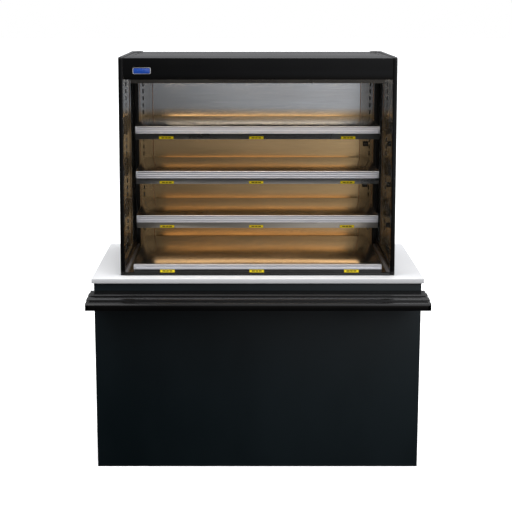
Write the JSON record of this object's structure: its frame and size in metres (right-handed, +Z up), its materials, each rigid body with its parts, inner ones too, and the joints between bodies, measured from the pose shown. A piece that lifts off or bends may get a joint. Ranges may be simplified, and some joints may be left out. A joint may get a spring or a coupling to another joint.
{
  "type": "bakery display case",
  "caption": "Open-front heated bakery display case with three shelves and a deck, dropped into a counter on a cabinet base with a ribbed tray slide and rear doors.",
  "frame": {"origin": "on the floor, under the middle of the bounding box", "axes": "+X to the customer's right, +Y to the operator's side at the rear, +Z up; the open front faces -Y"},
  "size_m": [1.477, 0.9912, 1.841],
  "materials": {
    "black_laminate": "boards faced with satin black laminate",
    "white_surface": "white solid surface, lightly polished",
    "powder_coat": "fine-textured black powder coat",
    "black_enamel": "smooth satin black enamel",
    "stainless": "bright brushed stainless sheet",
    "rail_aluminium": "clear anodised extrusion",
    "heater_plate": "mill finish",
    "glass": "clear toughened glass",
    "lamp_lens": "frosted diffuser",
    "black_plastic": "fine-grained black plastic",
    "bright_steel": "satin nickel plate",
    "badge_rim": "bright plated rim",
    "badge_enamel": "plain blue enamel",
    "yellow_tag": "plain yellow label stock",
    "dark_seal": "black sealing strip"
  },
  "bodies": {
    "root": {"back_liner": "stainless", "badge_plate": "badge_rim", "base_floor": "black_laminate", "base_front_panel": "black_laminate", "base_rear_header": "black_laminate", "base_side_left": "black_laminate", "base_side_right": "black_laminate", "cable_gland": "black_plastic", "canopy_fascia": "black_enamel", "canopy_top": "black_enamel", "control_panel": "black_plastic", "countertop": "white_surface", "deck_heater": "heater_plate", "deck_kick": "black_enamel", "end_frame_left": "black_enamel", "end_frame_right": "black_enamel", "end_glass_left": "glass", "end_glass_right": "glass", "front_sill": "black_enamel", "glass_channel_left": "rail_aluminium", "glass_channel_right": "rail_aluminium", "hinge_fixed_leaf_left": "bright_steel", "hinge_fixed_leaf_right": "bright_steel", "light_housing": "stainless", "light_lens": "lamp_lens", "rear_skin": "stainless", "shelf_socket_lower": "black_plastic", "shelf_socket_middle": "black_plastic", "shelf_socket_upper": "black_plastic", "side_column_left": "stainless", "side_column_right": "stainless", "tray_bracket_left": "powder_coat", "tray_bracket_right": "powder_coat", "tray_slide": "powder_coat", "tub": "stainless"},
    "shelf_upper": {"shelf_pan_upper": "stainless", "shelf_price_rail_upper": "rail_aluminium", "shelf_cover_upper": "stainless", "shelf_bracket_left_upper": "stainless", "shelf_bracket_right_upper": "stainless"},
    "shelf_middle": {"shelf_pan_middle": "stainless", "shelf_price_rail_middle": "rail_aluminium", "shelf_cover_middle": "stainless", "shelf_bracket_left_middle": "stainless", "shelf_bracket_right_middle": "stainless"},
    "shelf_lower": {"shelf_pan_lower": "stainless", "shelf_price_rail_lower": "rail_aluminium", "shelf_cover_lower": "stainless", "shelf_bracket_left_lower": "stainless", "shelf_bracket_right_lower": "stainless"},
    "deck": {"deck_pan": "stainless", "deck_price_rail": "rail_aluminium"},
    "door_left": {"rear_door_left": "black_laminate", "hinge_moving_leaf_left": "bright_steel", "door_pull_left": "bright_steel"},
    "door_right": {"rear_door_right": "black_laminate", "hinge_moving_leaf_right": "bright_steel", "door_pull_right": "bright_steel"},
    "knob": {"thermostat_knob": "black_plastic"},
    "switch": {"power_switch": "black_plastic"}
  },
  "joints": [
    {"name": "shelf_upper_lift", "type": "slide", "parent": "root", "child": "shelf_upper", "axis": [0, 0, 1], "range_m": [0, 0.01]},
    {"name": "shelf_middle_lift", "type": "slide", "parent": "root", "child": "shelf_middle", "axis": [0, 0, 1], "range_m": [0, 0.01]},
    {"name": "shelf_lower_lift", "type": "slide", "parent": "root", "child": "shelf_lower", "axis": [0, 0, 1], "range_m": [0, 0.01]},
    {"name": "deck_lift", "type": "slide", "parent": "root", "child": "deck", "axis": [0, 0, 1], "range_m": [0, 0.03]},
    {"name": "door_left_hinge", "type": "hinge", "parent": "root", "child": "door_left", "pos_m": [-0.7288, 0.44535, 0.455], "axis": [0, 0, 1], "range_deg": [0, 110]},
    {"name": "door_right_hinge", "type": "hinge", "parent": "root", "child": "door_right", "pos_m": [0.7288, 0.44535, 0.455], "axis": [0, 0, -1], "range_deg": [0, 110]},
    {"name": "thermostat_turn", "type": "hinge", "parent": "root", "child": "knob", "pos_m": [0.392, 0.46095, 0.95], "axis": [0, -1, 0], "range_deg": [0, 270]},
    {"name": "power_switch_rock", "type": "hinge", "parent": "root", "child": "switch", "pos_m": [0.454, 0.46265, 0.95], "axis": [1, 0, 0], "range_deg": [0, 18]}
  ]
}
